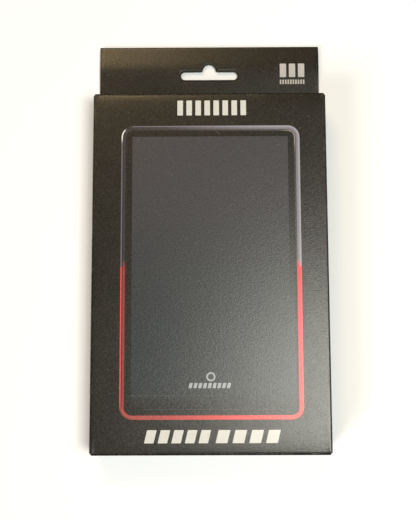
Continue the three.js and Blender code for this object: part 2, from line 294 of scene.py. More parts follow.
def front_height(x, y):
    """Height of the front's outer face: a slight bow, drawn down near the two end creases."""
    across = max(0.0, 1 - (x / HALF_WIDTH) ** 2)
    along = max(0.0, 1 - ((y - MIDDLE) / HALF_HEIGHT) ** 2)
    reach = TOP_PULL_LENGTH if y > MIDDLE else BOTTOM_PULL_LENGTH
    near_end = max(0.0, 1 - (HALF_HEIGHT + SWELL - CREASE - abs(y - MIDDLE)) / reach)
    return DEPTH + BULGE * across * along - end_pull(y) * near_end ** 2


def end_pull(y):
    """How far the crease draws the front's nearer end down."""
    return TOP_PULL if y > MIDDLE else BOTTOM_PULL


def tab_lift(y):
    """The hang tab rises from the lid's crease to a bend at its slot, then falls a little."""
    beyond = y - TOP - TAB_BEND
    rise = TAB_BEND * math.tan(TAB_SLOPE)
    kink = (math.tan(TAB_SLOPE) + math.tan(TAB_FALL)) / 2
    mean = (math.tan(TAB_SLOPE) - math.tan(TAB_FALL)) / 2
    return rise + mean * beyond - kink * (math.sqrt(beyond ** 2 + TAB_BEND_SOFT ** 2) - TAB_BEND_SOFT)


def near_ends(low, high):
    """Extra mesh lines close to both ends of a run, where creases bend and wear the board."""
    near, far = END_LINES
    return [low + near, low + far, high - far, high - near]


class Path:
    """A section line of straight runs and folds; at(u) gives its point and place along."""

    def __init__(self, start, direction):
        self.runs = []
        self.point = Vector(start)
        self.angle = math.radians(direction)
        self.length = 0.0

    def straight(self, length):
        self.runs.append(("line", self.length, length, self.point.copy(), self.angle, 0))
        self.point += length * Vector((math.cos(self.angle), math.sin(self.angle)))
        self.length += length
        return self

    def fold(self, radius, degrees):
        turn = math.radians(degrees)
        length = radius * abs(turn)
        side = math.copysign(1, turn)
        centre = self.point + radius * side * Vector((-math.sin(self.angle), math.cos(self.angle)))
        self.runs.append(("fold", self.length, length, centre, self.angle, side * radius))
        self.angle += turn
        self.point = centre + radius * side * Vector((math.sin(self.angle), -math.cos(self.angle)))
        self.length += length
        return self

    def at(self, u):
        for kind, start, length, point, angle, radius in self.runs:
            if u <= start + length or start + length >= self.length - 1e-9:
                along = u - start
                if kind == "line":
                    return point + along * Vector((math.cos(angle), math.sin(angle)))
                turned = angle + along / radius
                return point + radius * Vector((math.sin(turned), -math.cos(turned)))

    def columns(self):
        """Where a sheet on this path needs mesh lines."""
        places = []
        for kind, start, length, *_ in self.runs:
            end = start + length
            if kind == "fold":
                places.extend(spread(start, end, length / ARC_STEPS)[:-1])
            elif length > 2 * GRID:
                places.extend([start, *near_ends(start, end), *spread(start + GRID, end - GRID, GRID)])
            else:
                places.extend(spread(start, end, GRID)[:-1])
        return sorted(places) + [self.length]

    def mark(self, index):
        """Where run number index starts."""
        return self.runs[index][1]


def edge_distance(point):
    """Distance from a point to the nearest outer edge of the carton or of its hang tab."""
    x, y, z = point
    side = abs(HALF_WIDTH - abs(x))
    if y > TOP + 1 * MM:
        return min(abs(TAB_HALF - abs(x)), abs(TAB_TOP - y))
    end = abs(HALF_HEIGHT - abs(y - MIDDLE))
    face = min(abs(z), abs(DEPTH - z))
    nearest = sorted((side, end, face))
    return math.hypot(nearest[0], nearest[1])


def mark_wear(piece):
    """Keeps on each point how close it is to a worn edge, and how much painted shade darkens it at the
    lid creases and the hang tab's top edge.
    """
    worn = piece.data.attributes.new("wear", "FLOAT", "POINT")
    painted_crease_shade = piece.data.attributes.new("crease", "FLOAT", "POINT")
    for wear, crease, vertex in zip(worn.data, painted_crease_shade.data, piece.data.vertices):
        place = vertex.co
        wear.value = 1 - smooth(0.3 * MM, 1.8 * MM, edge_distance(place))
        # the crease attribute says where painted shade goes: along the hang tab's top edge and along
        # both lid creases
        crease.value = smooth(TAB_TOP - 0.5 * MM, TAB_TOP - 0.3 * MM, place.y)
        if place.z > DEPTH - 2 * CREASE:
            above = smooth(TOP + SWELL - 1.05 * CREASE, TOP + SWELL - 0.75 * CREASE, place.y)
            below = 1 - smooth(0.4 * MM, 1.5 * MM, place.y - (BOTTOM - SWELL))
            crease.value = max(above, below)


# ---- materials


def nodes_of(name):
    material = bpy.data.materials.new(name)
    material.use_nodes = True
    tree = material.node_tree
    return material, tree, tree.nodes["Principled BSDF"]


def add(tree, kind, **values):
    node = tree.nodes.new(kind)
    for key, value in values.items():
        setattr(node, key, value)
    return node


def noise_node(tree, scale, detail=3.0, roughness=0.5, stretch=(1, 1, 1)):
    place = add(tree, "ShaderNodeTexCoord")
    mapping = add(tree, "ShaderNodeMapping")
    mapping.inputs["Scale"].default_value = stretch
    texture = add(tree, "ShaderNodeTexNoise")
    texture.inputs["Scale"].default_value = scale
    texture.inputs["Detail"].default_value = detail
    texture.inputs["Roughness"].default_value = roughness
    tree.links.new(place.outputs["Object"], mapping.inputs["Vector"])
    tree.links.new(mapping.outputs["Vector"], texture.inputs["Vector"])
    return texture.outputs["Fac"]


def cells_node(tree, scale):
    place = add(tree, "ShaderNodeTexCoord")
    cells = add(tree, "ShaderNodeTexVoronoi")
    cells.inputs["Scale"].default_value = scale
    tree.links.new(place.outputs["Object"], cells.inputs["Vector"])
    return cells.outputs


def ramp(tree, factor, stops):
    """A colour ramp from (place, colour) stops."""
    node = add(tree, "ShaderNodeValToRGB")
    elements = node.color_ramp.elements
    while len(elements) < len(stops):
        elements.new(0.5)
    for element, (place, colour) in zip(elements, stops):
        element.position = place
        element.color = (*colour, 1)
    tree.links.new(factor, node.inputs["Fac"])
    return node.outputs["Color"]


def grey(value):
    return (value, value, value)


def grey_ramp(tree, factor, *stops):
    """A grey ramp from (place, value) stops."""
    return ramp(tree, factor, [(place, grey(value)) for place, value in stops])


def mix(tree, factor, first, second, blend="MIX"):
    node = add(tree, "ShaderNodeMix", data_type="RGBA", blend_type=blend)
    for name, value in (("Factor", factor), ("A", first), ("B", second)):
        socket = node.inputs[name]
        if isinstance(value, bpy.types.NodeSocket):
            tree.links.new(value, socket)
        elif isinstance(value, tuple):
            socket.default_value = (*value, 1)
        else:
            socket.default_value = value
    return node.outputs["Result"]


def multiply(tree, first, second):
    return mix(tree, 1.0, first, second, "MULTIPLY")


def paint(tree, shader, colour, rough):
    tree.links.new(colour, shader.inputs["Base Color"])
    tree.links.new(rough, shader.inputs["Roughness"])


def bump(tree, shader, height, strength, distance):
    node = add(tree, "ShaderNodeBump")
    node.inputs["Strength"].default_value = strength
    node.inputs["Distance"].default_value = distance
    tree.links.new(height, node.inputs["Height"])
    tree.links.new(node.outputs["Normal"], shader.inputs["Normal"])


FILM_GRAIN = (1450, 3, 0.7)       # scale, detail and roughness of the film's grain
FILM_TOOTH = 0.06 * MM            # height of the film's pebbles
FILM_ROUGH = (0.28, 0.33)


def speckle(tree, rarity):
    """Specks of dust, thick in some places and missing in others. A higher rarity leaves fewer."""
    cells = cells_node(tree, 330)
    spot = grey_ramp(tree, cells["Distance"], (0.04, 1), (0.17, 0))
    chosen = grey_ramp(tree, cells["Color"], (rarity, 0), (rarity + 0.04, 1))
    clouds = grey_ramp(tree, noise_node(tree, 22, 2), (0.40, 0.15), (0.60, 1))
    return multiply(tree, multiply(tree, spot, chosen), clouds)


def laminate(name, dark, light, roughness=FILM_ROUGH, rarity=0.64):
    """Printed board under a satin film: fine grain, soft mottling, dust specks, worn edges, and painted
    shade along the creases.
    """
    material, tree, shader = nodes_of(name)
    grain = noise_node(tree, *FILM_GRAIN)
    mottle = noise_node(tree, 60, 4, 0.6)
    worn = worn_mask(tree)
    painted_crease_shade = crease_shade_mask(tree)
    colour = ramp(tree, mix(tree, 0.35, grain, mottle), [(0.3, dark), (0.7, light)])
    colour = mix(tree, speckle(tree, rarity), colour, (0.075, 0.075, 0.073))
    colour = mix(tree, hairlines(tree, 14), colour, (0.040, 0.037, 0.031))
    colour = mix(tree, worn, colour, (0.100, 0.088, 0.070))
    # painted shade: near black where the creases and the tab's top edge fall into shade
    colour = mix(tree, painted_crease_shade, colour, (0.003, 0.003, 0.002))
    low, high = roughness
    rough = grey_ramp(tree, mix(tree, 0.75, mottle, grain), (0.38, low), (0.62, high))
    rough = mix(tree, worn, rough, grey(0.6))
    rough = mix(tree, painted_crease_shade, rough, grey(0.9))
    paint(tree, shader, colour, rough)
    bump(tree, shader, mix(tree, worn, tooth(tree), grey(1.0)), 1.0, FILM_TOOTH)
    sparkle(tree, shader, grain, painted_crease_shade)
    return material


def sparkle(tree, shader, grain, painted_shade=0.0):
    """A fine light and dark speckle in the gloss of the film; where the creases carry painted shade, the
    gloss is turned down too.
    """
    speckled = grey_ramp(tree, grain, (0.36, 0.60), (0.64, 1.0))
    tree.links.new(mix(tree, painted_shade, speckled, grey(0.3)), shader.inputs["Specular Tint"])
    shader.inputs["Specular IOR Level"].default_value = 0.62


def tooth(tree):
    """The fine pebbled surface of the film: a coarse grain over a fine one."""
    return mix(tree, 0.35, noise_node(tree, 1150, 2), noise_node(tree, 2600, 2))


def hairlines(tree, scale):
    """A few separate scratches: short stretches of long, slightly curved thin lines."""
    width = 0.0016
    drift = noise_node(tree, scale, 0)
    lines = grey_ramp(tree, drift, (0.5 - width, 0), (0.5, 1), (0.5 + width, 0))
    broken = grey_ramp(tree, noise_node(tree, 55, 1), (0.62, 0), (0.70, 1))
    return multiply(tree, lines, broken)


def worn_mask(tree):
    """Small cracks and rubs in the film along the board's edges."""
    near = add(tree, "ShaderNodeAttribute", attribute_name="wear")
    cracks = noise_node(tree, 1400, 3, 0.6, (1.6, 0.5, 1.6))
    rubs = noise_node(tree, 110, 2)
    chips = grey_ramp(tree, mix(tree, 0.40, cracks, rubs), (0.55, 0), (0.62, 0.8))
    return multiply(tree, chips, near.outputs["Fac"])


def crease_shade_mask(tree):
    """Painted shade along the lid creases and the hang tab's top edge, ending in ragged teeth of painted
    shadow.
    """
    near = add(tree, "ShaderNodeAttribute", attribute_name="crease")
    places = noise_node(tree, 900, 1, 0.5, (1, 0.12, 0.12))
    teeth = grey_ramp(tree, places, (0.46, 0.5), (0.56, 1))
    return grey_ramp(tree, multiply(tree, teeth, near.outputs["Fac"]), (0.40, 0), (0.55, 1))


def bare_board(name, dark, light):
    """The uncoated inside or the cut edge of the board: short fibres and flecks."""
    material, tree, shader = nodes_of(name)
    fibres = noise_node(tree, 900, 5, 0.65, (1, 0.25, 1))
    flecks = noise_node(tree, 2500, 2)
    colour = ramp(tree, mix(tree, 0.4, fibres, flecks), [(0.32, dark), (0.68, light)])
    paint(tree, shader, colour, grey_ramp(tree, flecks, (0.3, 0.82), (0.7, 0.95)))
    bump(tree, shader, fibres, 0.5, 0.04 * MM)
    return material


def painted_ink(name):
    """Ink whose colour is kept on the mesh in the attribute ink, with a fine screen grain."""
    material, tree, shader = nodes_of(name)
    ink = add(tree, "ShaderNodeAttribute", attribute_name="ink")
    grain = noise_node(tree, *FILM_GRAIN)
    colour = multiply(tree, ink.outputs["Color"], grey_ramp(tree, grain, (0.35, 0.90), (0.65, 1.0)))
    colour = mix(tree, speckle(tree, 0.76), colour, (0.13, 0.13, 0.125))
    colour = mix(tree, hairlines(tree, 11), colour, (0.085, 0.083, 0.085))
    low, high = FILM_ROUGH
    paint(tree, shader, colour, grey_ramp(tree, grain, (0.38, low), (0.62, high)))
    bump(tree, shader, tooth(tree), 1.0, FILM_TOOTH)
    sparkle(tree, shader, grain)
    return material


BLACK = laminate("black_laminate", (0.0075, 0.0058, 0.0030), (0.0140, 0.0112, 0.0065))
# the inside board's dark tone is painted shade: it stands for the shade on the rear ply seen through the
# hanger slot
INSIDE = bare_board("board_inside_painted_shade", (0.010, 0.009, 0.0075), (0.022, 0.020, 0.016))
CORE = bare_board("board_core", (0.10, 0.090, 0.078), (0.24, 0.22, 0.19))
BOARD_MATERIALS = (BLACK, INSIDE, CORE)

# ---- carton board


def local_to_row(x, y, z, end):
    """From a closure's own frame, where y is 0 at the carton's end, to the row frame."""
    return Vector((end * x, MIDDLE + end * (HALF_HEIGHT + y), z))


def slot_loop(half_length, arm, hump, hump_radius, centre_y):
    """The hanger slot's outline: a long arm with round ends and a hump on it."""
    steps = 10
    y = arm / 2
    hump_centre = y + hump - hump_radius
    flare = hump_radius + 1.9 * MM
    loop = arc(half_length - y, 0, y, -90, 90, steps)
    start, end = Vector((flare, y)), Vector((hump_radius, hump_centre))
    pull = Vector((hump_radius + 0.3 * MM, y))
    curve = [start.lerp(pull, t).lerp(pull.lerp(end, t), t) for t in spread(0, 1, 0.2)]
    loop.extend(tuple(p) for p in curve)
    loop.extend(arc(0, hump_centre, hump_radius, 0, 180, 2 * steps)[1:-1])
    loop.extend((-p.x, p.y) for p in reversed(curve))
    loop.extend(arc(-half_length + y, 0, y, 90, 270, steps))
    return [(px, py + centre_y) for px, py in loop]


SLOT_ARM_Y = TOP + 16.1 * MM
REAR_SLOT = slot_loop(15.6 * MM, 4.4 * MM, 4.1 * MM, 3.6 * MM, SLOT_ARM_Y + 0.3 * MM)
FRONT_SLOT = slot_loop(16.8 * MM, 6.8 * MM, 4.1 * MM, 4.5 * MM, SLOT_ARM_Y)


def wrap_path():
    """Section of the folded blank in x and z: glue flap, back, right, front, left."""
    return (
        Path((GLUE_X, GLUE_WIDTH), -90)
        .straight(GLUE_WIDTH - FOLD)
        .fold(FOLD, 90)
        .straight(HALF_WIDTH - FOLD - (GLUE_X + FOLD))
        .fold(FOLD, 90)
        .straight(DEPTH - 2 * FOLD)
        .fold(FOLD, 90)
        .straight(2 * (HALF_WIDTH - FOLD))
        .fold(FOLD, 90)
        .straight(DEPTH - FOLD - 0.2 * MM)
    )


def fold_end_points(front_edge, outward, front_end, inward):
    """The blank's end where the front's long fold begins: it draws back as it turns to the side."""
    drawn_back = ((0, 0), (0.33, 0.1 * MM), (0.66, 0.35 * MM))
    length = FOLD * math.pi / 2
    return [(front_edge + outward * part * length, front_end + inward * back)
            for part, back in drawn_back]


def board_sheet(name, outline, holes, columns, rows, place, flip=True, thickness=BOARD, bevel=CUT_SOFT):
    """Cuts a flat blank, moves its points into place, and gives it thickness and wear."""
    flat, faces = blank(outline, holes, columns, rows)
    piece = new_object(name, [place(*spot) for spot in flat], faces, BOARD_MATERIALS)
    if flip:
        piece.data.flip_normals()
    thicken(piece, thickness, bevel=bevel)
    mark_wear(piece)
    return piece


def make_wrap():
    path = wrap_path()
    marks = [path.mark(run) for run in range(1, 9)]
    glue_end, back_start, back_end, right_start, right_end, front_start, front_end, left_start = marks
    left_end = path.length
    side_top = TOP - SIDE_SHORT
    side_bottom = BOTTOM + SIDE_SHORT
    front_top = TOP + SWELL - CREASE
    front_bottom = BOTTOM - SWELL + CREASE
    shift = back_start - (GLUE_X + FOLD)          # from x on the back to the path's length
    tab_low, tab_high = shift - TAB_HALF, shift + TAB_HALF
    rear_top = TAB_TOP - TAB_FACE / 2
    outline = [
        (0, side_bottom + GLUE_SLOPE), (glue_end, side_bottom + GLUE_STEP), (back_start, BOTTOM),
        (back_end, BOTTOM), (right_start, side_bottom), (right_end, side_bottom),
        *fold_end_points(front_start, -1, front_bottom, 1)[::-1],
        *fold_end_points(front_end, 1, front_bottom, 1),
        (left_start, side_bottom), (left_end, side_bottom), (left_end, side_top), (left_start, side_top),
        *fold_end_points(front_end, 1, front_top, -1)[::-1],
        *fold_end_points(front_start, -1, front_top, -1),
        (right_end, side_top), (right_start, side_top), (back_end, TOP - BACK_FALL), (tab_high, TOP),
        (tab_high, rear_top), (tab_low, rear_top), (tab_low, TOP), (back_start, TOP - BACK_FALL),
        (glue_end, side_top - GLUE_STEP), (0, side_top - GLUE_SLOPE),
    ]
    hole = [(shift + x, y) for x, y in REAR_SLOT]
    rows = spread(BOTTOM + GRID, TOP, GRID) + near_ends(front_bottom, front_top)
    rows += spread(TOP + TAB_GRID, TAB_TOP - GRID, TAB_GRID)

    def place(u, y):
        spot = path.at(u)
        z = front_height(spot.x, y) if front_start < u < front_end else spot.y
        if y > TOP:
            z += tab_lift(y)
        return spot.x, y, z

    piece = board_sheet("carton_wrap", outline, [hole], path.columns(), rows, place)
    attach(piece, "carton")
    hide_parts("front_panel", "back_panel", "left_side_panel", "right_side_panel", "glue_flap")
    return piece


def make_tab_ply():
    """The ply that folds over at the tab's top and comes down its front."""
    radius = TAB_FACE / 2
    path = Path((TAB_TOP - radius, 0), 0).fold(radius, 180).straight(TAB_TOP - radius - TAB_LOW.y)
    fold_end = path.mark(1)
    to_u = lambda y: fold_end + (TAB_TOP - radius - y)
    end, corner = path.length, TAB_CORNER
    outline = [(-TAB_HALF, 0), (TAB_HALF, 0), (TAB_HALF, end - corner), (TAB_HALF - corner, end),
               (-TAB_HALF + corner, end), (-TAB_HALF, end - corner)]
    hole = [(x, to_u(y)) for x, y in FRONT_SLOT]
    rows = path.columns() + spread(fold_end + TAB_GRID, path.length - TAB_GRID, TAB_GRID)
    columns = spread(-TAB_HALF, TAB_HALF, 2 * TAB_GRID)

    def place(x, u):
        spot = path.at(u)
        return x, spot.x, spot.y + tab_lift(spot.x)

    piece = board_sheet("hang_tab_front_ply", outline, [hole], columns, rows, place,
                        thickness=TAB_PLY, bevel=TAB_SOFT)
    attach(piece, "carton")
    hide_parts("hang_tab_ply")
    return piece


def sheet_on_path(name, outline, path, place, flip=False):
    """A board piece whose 2D blank is bent along a path and put in place."""
    columns = spread(min(p[0] for p in outline), max(p[0] for p in outline), GRID)
    bent = lambda x, u: place(x, path.at(u))
    return board_sheet(name, outline, [], columns, path.columns(), bent, flip)


# (narrowing, distance from the crease's start) of a lid's crushed corners
LID_CORNER = ((0.2 * MM, 0), (0.5 * MM, 0.7 * MM), (0.9 * MM, 1.3 * MM), (0.9 * MM, 2 * MM), (0, 5 * MM))


def make_lid(end, name):
    face = DEPTH - end_pull(MIDDLE + end)
    depth = face - CREASE - TUCK_BASE
    lean = math.atan2(SWELL, depth)
    path = Path((SWELL - CREASE, face), 0).fold(CREASE, -90 - math.degrees(lean)).straight(depth)
    outline = [(-LID_HALF, path.length)]
    for side in (-1, 1):
        corner = [(side * (LID_HALF - narrow), u) for narrow, u in LID_CORNER]
        outline += corner if side > 0 else corner[::-1]
    outline.append((LID_HALF, path.length))
    piece = sheet_on_path(f"{name}_lid", outline, path, lambda x, p: local_to_row(x, p.x, p.y, end))
    local_to_row(0, SWELL - CREASE, face, end)
    local_to_row(0, SWELL, face - CREASE, end)
    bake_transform(piece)
    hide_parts(f"{name}_lid_panel")
    return piece


def make_tuck(end, name):
    length = TOP - TUCK_LOW.y - TUCK_FOLD
    path = Path((0, TUCK_BASE), -90).fold(TUCK_FOLD, -90 - TUCK_LEAN).straight(length)
    half, corner = TUCK_HIGH.x, TUCK_CORNER
    outline = [(-half, 0), (half, 0)]
    for side, turn in ((1, 0), (-1, 90)):
        outline += arc(side * (half - corner), path.length - corner, corner, turn, turn + 90, 10)
    piece = sheet_on_path(f"{name}_tuck", outline, path, lambda x, p: local_to_row(x, p.x, p.y, end))
    local_to_row(0, 0, TUCK_BASE, end)
    local_to_row(0, -TUCK_FOLD, TUCK_BASE - TUCK_FOLD, end)
    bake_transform(piece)
    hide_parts(f"{name}_tuck_flap")
    return piece


def make_dust(end, side, name, hand):
    """side is +1 for the flap at +x in the closure's own frame."""
    path = Path((HALF_WIDTH, DUST_FACE - DUST_FOLD), 90).fold(DUST_FOLD, 90)
    path.straight(HALF_WIDTH - DUST_FOLD - DUST_LOW.x)
    start, tip = path.mark(1), path.length
    reach = DUST_HIGH.x - DUST_LOW.x
    rear, front = DUST_LOW.z, DUST_HIGH.z
    rear_slope, front_slope = (math.tan(math.radians(slope)) for slope in DUST_SLOPES)
    tip_rear = rear + rear_slope * (reach - DUST_STRAIGHT)
    tip_front = front - front_slope * reach
    cut = DUST_CORNER
    outline = [(rear, 0), (front, 0), (front, start), (tip_front + 0.4 * cut, tip - cut),
               (tip_front - 0.6 * cut, tip), (tip_rear + 0.6 * cut, tip),
               (tip_rear - 0.3 * cut, tip - cut), (rear, start + DUST_STRAIGHT)]
    piece = sheet_on_path(f"{name}_{hand}_dust", outline, path,
                          lambda z, p: local_to_row(side * p.x, p.y, z, end), flip=side > 0)
    local_to_row(side * HALF_WIDTH, DUST_FACE - DUST_FOLD, 0, end)
    local_to_row(side * (HALF_WIDTH - DUST_FOLD), DUST_FACE, 0, end)
    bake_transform(piece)
    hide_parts(f"{name}_{hand}_dust_flap")
    return piece


make_wrap()
make_tab_ply()
for closure_end, closure in ((1, "top"), (-1, "bottom")):
    make_lid(closure_end, closure)
    make_tuck(closure_end, closure)
    make_dust(closure_end, closure_end, closure, "right")
    make_dust(closure_end, -closure_end, closure, "left")

# ---- snap case

RING_WIDTH = 2.9 * MM
RING_SPLIT = MIDDLE + 1.9 * MM    # where the ring's two colours meet
RING_CORNER = 6.2 * MM
SPLIT_GAP = 0.1 * MM
GROOVE = 0.3 * MM
GROOVE_DEPTH = 0.4 * MM
RING_SOFT = 0.8 * MM              # rounding of the ring's outer edges
SMALL_SOFT = 0.25 * MM
FRAME_CORNER = 3.3 * MM
VIEW = (40.65 * MM, 70.2 * MM, 0.6 * MM)     # half width, half height and corner of the view
CAVITY = (41.6 * MM, 71.1 * MM, 1.0 * MM)    # the same of the tray's inside
LIP = 0.9 * MM                    # width and drop of the slope round the view
LIP_STRAIGHT = (0.75 * MM, 0.2 * MM)         # from the view, where its straight part starts and ends
WINDOW_CUT = (1.0 * MM, 0.15 * MM)           # corner radius and edge chamfer of the windows
CARD_CUT = (2.5 * MM, 0.12 * MM)             # and of the card
FOAM_GRID = 5 * MM
FOAM_SOFT = 0.8 * MM              # rounding of the foam's edges
FOAM_WOBBLE = 0.12 * MM           # unevenness of its skin


def station(inset, z, half_width, half_height, corner):
    """One closed line round the case: its half sizes, corner radius and height."""
    return half_width - inset, half_height - inset, max(corner - inset, 0.3 * MM), z


def station_points(shape, steps, split=None, upper=True):
    """Points round a station. With split, only the part above or below that y."""
    half_width, half_height, corner, z = shape
    centre = (CASE_LOW.y + CASE_HIGH.y) / 2
    loop = rounded_loop(2 * half_width, 2 * half_height, corner, 0, centre, steps)
    if split is None:
        return [(x, y, z) for x, y in loop]
    if upper:
        kept = [(half_width, split)] + [p for p in loop if p[1] > split] + [(-half_width, split)]
    else:
        left = [p for p in loop if p[1] < split and p[0] < 0]
        right = [p for p in loop if p[1] < split and p[0] > 0]
        kept = [(-half_width, split)] + left + right + [(half_width, split)]
    return [(x, y, z) for x, y in kept]


def loft(name, stations, materials, closed=True, split=None, upper=True, steps=8):
    """Skins a list of stations. Closed lofts are rings; open ones are plates capped at both ends."""
    rows = [station_points(shape, steps, split, upper) for shape in stations]
    count = len(rows[0])
    vertices = [p for row in rows for p in row]
    faces = []
    row_pairs = [(i, i + 1) for i in range(len(rows) - 1)]
    if closed:
        row_pairs.append((len(rows) - 1, 0))
    turns = count if split is None else count - 1
    for a, b in row_pairs:
        for i in range(turns):
            j = (i + 1) % count
            faces.append((a * count + i, a * count + j, b * count + j, b * count + i))
    if split is not None:
        faces.append([r * count for r in range(len(rows))])
        faces.append([r * count + count - 1 for r in reversed(range(len(rows)))])
    elif not closed:
        faces.append(list(reversed(range(count))))
        faces.append([(len(rows) - 1) * count + i for i in range(count)])
    piece = new_object(name, vertices, faces, materials)
    return sharpen(piece, LOFT_SHARP, turn_outward=True)


def ring_section():
    """(inset, height) round the ring's section, from the rear of its outer face."""
    low, high = CASE_LOW.z, CASE_HIGH.z
    stripe = (RING_WIDTH - 2 * GROOVE) / 3
    soft, small = RING_SOFT, SMALL_SOFT
    section = [(soft - x, low + soft - y) for x, y in arc(0, 0, soft, 90, 0, 5)]
    section += [(soft - x, high - soft + y) for x, y in arc(0, 0, soft, 0, 90, 5)]
    for number in (1, 2):
        start = number * stripe + (number - 1) * GROOVE
        section += [
            (start - small / 2, high), (start, high - small / 2), (start, high - GROOVE_DEPTH),
            (start + GROOVE, high - GROOVE_DEPTH), (start + GROOVE, high - small / 2),
            (start + GROOVE + small / 2, high)]
    section += [(RING_WIDTH - small, high), (RING_WIDTH, high - small),
                (RING_WIDTH, low + small), (RING_WIDTH - small, low)]
    return section


def make_ring(upper):
    half_width = CASE_HIGH.x
    half_height = (CASE_HIGH.y - CASE_LOW.y) / 2
    shapes = [station(inset, z, half_width, half_height, RING_CORNER) for inset, z in ring_section()]
    name = "upper" if upper else "lower"
    split = RING_SPLIT + (SPLIT_GAP / 2 if upper else -SPLIT_GAP / 2)
    piece = loft(f"ring_{name}", shapes, [SILVER if upper else RED], split=split, upper=upper, steps=10)
    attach(piece, "case_rear")
    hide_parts(f"case_ring_{name}")


def make_frame(half, body):
    """The black tray that holds one window, with a sloping lip round the view."""
    low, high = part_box(f"case_{half}_frame")
    outward = 1 if half == "front" else -1
    face = high.z if half == "front" else low.z
    back = low.z if half == "front" else high.z
    lip = outward * LIP
    small = outward * SMALL_SOFT
    outer = (high.x, (high.y - low.y) / 2, FRAME_CORNER)
    slope_start, slope_end = LIP_STRAIGHT
    shapes = [
        station(0, back, *outer), station(0, face - small, *outer), station(SMALL_SOFT, face, *outer),
        station(-LIP, face, *VIEW), station(-slope_start, face - small, *VIEW),
        station(-slope_end, face - lip + small, *VIEW), station(0, face - lip, *VIEW),
        station(0, face - lip, *CAVITY), station(0, back, *CAVITY)]
    piece = loft(f"frame_{half}", shapes, [FRAME_PLASTIC])
    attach(piece, body)
    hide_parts(f"case_{half}_frame")


def make_plate(name, node, cut, material, body):
    """A flat plate with softened edges in a CAD node's place."""
    low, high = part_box(node)
    corner, soft = cut
    size = (high.x, (high.y - low.y) / 2, corner)
    shapes = [station(soft, low.z, *size), station(0, low.z + soft, *size),
              station(0, high.z - soft, *size), station(soft, high.z, *size)]
    piece = loft(name, shapes, [material], closed=False)
    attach(piece, body)
    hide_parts(node)


def make_foam(name):
    """A foam block cut from sheet: soft edges and a slightly uneven skin."""
    low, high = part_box(name)
    size = high - low
    centre = (low + high) / 2
    piece = new_object(name + "_cut", *box_grid(low, high, FOAM_GRID), [FOAM])
    bevel_edges(piece, min(FOAM_SOFT, size.z * 0.3), 3)
    freeze(piece)
    for vertex in piece.data.vertices:
        wobble = FOAM_WOBBLE * noise.noise(vertex.co * 260)
        vertex.co += (centre - vertex.co).normalized() * (FOAM_WOBBLE + wobble)
    sharpen(piece)
    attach(piece, "carton")
    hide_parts(name)


def box_grid(low, high, step):
    """A closed box whose faces are divided into a grid."""
    mesh = bmesh.new()
    bmesh.ops.create_cube(mesh, size=1)
    for vertex in mesh.verts:
        vertex.co = Vector([low[i] + (vertex.co[i] + 0.5) * (high[i] - low[i]) for i in range(3)])
    for axis in range(3):
        count = max(1, round((high[axis] - low[axis]) / step))
        for i in range(1, count):
            at = low[axis] + (high[axis] - low[axis]) * i / count
            plane = Vector([1.0 if k == axis else 0.0 for k in range(3)])
            everything = mesh.verts[:] + mesh.edges[:] + mesh.faces[:]
            bmesh.ops.bisect_plane(mesh, geom=everything, plane_co=plane * at, plane_no=plane)
    mesh.verts.index_update()
    vertices = [v.co.copy() for v in mesh.verts]
    faces = [tuple(v.index for v in face.verts) for face in mesh.faces]
    mesh.free()
    return vertices, faces


def moulded(name, dark, light, roughness):
    """Moulded plastic: fine spark-eroded grain, faint flow marks, small colour drift."""
    material, tree, shader = nodes_of(name)
    grain = noise_node(tree, 1800, 3)
    drift = noise_node(tree, 45, 3, 0.55, (1, 0.4, 1))
    colour = ramp(tree, mix(tree, 0.35, drift, grain), [(0.3, dark), (0.7, light)])
    paint(tree, shader, colour, grey_ramp(tree, drift, (0.3, roughness - 0.05), (0.7, roughness + 0.06)))
    bump(tree, shader, grain, 0.3, 0.02 * MM)
    return material


def clear_plastic(name):
    """Polished clear plastic with faint haze and hairlines."""
    material, tree, shader = nodes_of(name)
    haze = noise_node(tree, 90, 4, 0.6)
    hairs = noise_node(tree, 500, 2, 0.5, (1, 0.04, 1))
    colour = ramp(tree, haze, [(0.3, (0.93, 0.96, 0.97)), (0.7, (0.98, 0.99, 0.99))])
    rough = grey_ramp(tree, mix(tree, 0.4, haze, hairs), (0.35, 0.02), (0.75, 0.10))
    paint(tree, shader, colour, rough)
    shader.inputs["Transmission Weight"].default_value = 1.0
    shader.inputs["IOR"].default_value = 1.49
    bump(tree, shader, hairs, 0.05, 0.01 * MM)
    return material


def cell_foam(name):
    """Black polyethylene foam: closed cells of two sizes, matt."""
    material, tree, shader = nodes_of(name)
    cells = cells_node(tree, 900)
    drift = noise_node(tree, 120, 3)
    walls = mix(tree, 0.3, cells["Distance"], drift)
    colour = ramp(tree, walls, [(0.15, (0.028, 0.028, 0.029)), (0.6, (0.010, 0.010, 0.0105))])
    paint(tree, shader, colour, grey_ramp(tree, drift, (0.3, 0.82), (0.7, 0.96)))
    bump(tree, shader, cells["Distance"], 0.6, 0.15 * MM)
    return material


SILVER = moulded("silver_ring", (0.27, 0.255, 0.275), (0.36, 0.345, 0.365), 0.36)
SILVER.node_tree.nodes["Principled BSDF"].inputs["Metallic"].default_value = 0.4
RED = moulded("red_ring", (0.50, 0.045, 0.055), (0.62, 0.075, 0.085), 0.34)
FRAME_PLASTIC = moulded("black_frame", (0.010, 0.010, 0.011), (0.022, 0.022, 0.024), 0.42)
CLEAR = clear_plastic("clear_window")
FOAM = cell_foam("black_foam")
CARD = laminate("dummy_card_print", (0.070, 0.068, 0.068), (0.095, 0.092, 0.092), (0.5, 0.6), 0.8)

make_ring(True)
make_ring(False)
make_frame("rear", "case_rear")
make_frame("front", "case_front")
make_plate("window_rear", "case_rear_window", WINDOW_CUT, CLEAR, "case_rear")
make_plate("window_front", "case_front_window", WINDOW_CUT, CLEAR, "case_front")
make_plate("card", "dummy_card", CARD_CUT, CARD, "case_rear")
for block in ("foam_left_rail", "foam_right_rail", "foam_base_pad", "foam_end_block"):
    make_foam(block)

# ---- front print

